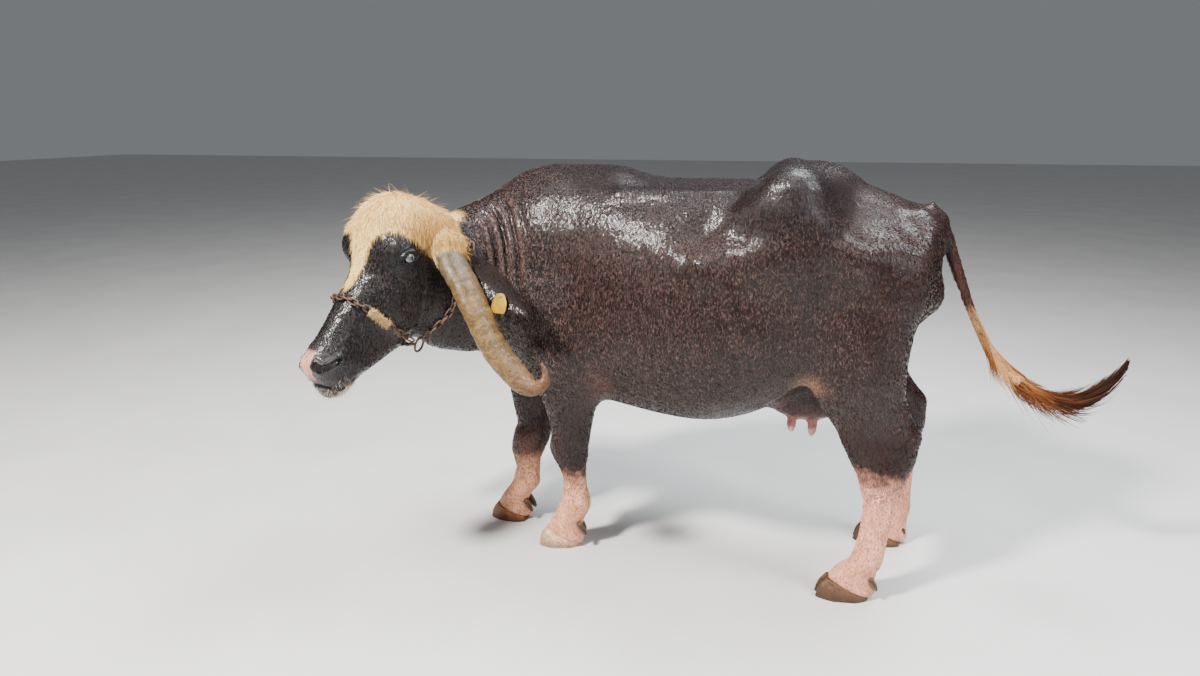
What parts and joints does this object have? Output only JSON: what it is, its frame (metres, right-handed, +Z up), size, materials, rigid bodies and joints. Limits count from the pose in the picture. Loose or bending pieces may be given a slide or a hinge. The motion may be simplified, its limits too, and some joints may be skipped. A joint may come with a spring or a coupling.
{
  "type": "water buffalo",
  "caption": "Still, life-size water buffalo cow standing with its head turned, drooping horns, chain halter and ear tag.",
  "frame": {"origin": "bottom centre of the whole animal's box, on the floor under the middle of its length and width", "axes": "+Z up; the body faces -X with its tail towards +X; +Y is the animal's right side; the head is turned towards -Y, its left"},
  "size_m": [2.5862, 1.0204, 1.4322],
  "materials": {
    "hide": "wet, short dark coat over wrinkled skin",
    "lower_legs": "pale pinkish short coat, dark speckled above",
    "udder": "bare maroon skin with pale pink teats",
    "eyes": "wet, pale iris",
    "horns": "smooth mottled horn, glossy in places",
    "claws": "worn horn",
    "switch": "long coarse hair, cream to brown",
    "tag": "bare tag",
    "rope": "frayed natural fibre",
    "chain": "rusty links"
  },
  "bodies": {
    "root": {"claw_left_fore_inner": "claws", "claw_left_fore_outer": "claws", "claw_left_hind_inner": "claws", "claw_left_hind_outer": "claws", "claw_right_fore_inner": "claws", "claw_right_fore_outer": "claws", "claw_right_hind_inner": "claws", "claw_right_hind_outer": "claws", "dewclaw_left_fore_inner": "claws", "dewclaw_left_fore_outer": "claws", "dewclaw_left_hind_inner": "claws", "dewclaw_left_hind_outer": "claws", "dewclaw_right_fore_inner": "claws", "dewclaw_right_fore_outer": "claws", "dewclaw_right_hind_inner": "claws", "dewclaw_right_hind_outer": "claws", "ear_left": "hide", "ear_right": "hide", "ear_tag": "tag", "eye_left": "eyes", "eye_right": "eyes", "halter_chin": "chain", "halter_head": "chain", "halter_nose_band": "chain", "halter_nose_left": "chain", "halter_ring_left": "chain", "halter_ring_right": "chain", "halter_rope_wrap": "rope", "head": "hide", "horn_left": "horns", "horn_right": "horns", "leg_left_fore_lower": "lower_legs", "leg_left_fore_upper": "hide", "leg_left_hind_lower": "lower_legs", "leg_left_hind_upper": "hide", "leg_right_fore_lower": "lower_legs", "leg_right_fore_upper": "hide", "leg_right_hind_lower": "lower_legs", "leg_right_hind_upper": "hide", "neck": "hide", "tail_lower": "hide", "tail_middle": "hide", "tail_root": "hide", "tail_switch_tip": "switch", "tail_switch_upper": "switch", "trunk": "hide", "udder": "udder"}
  },
  "joints": []
}
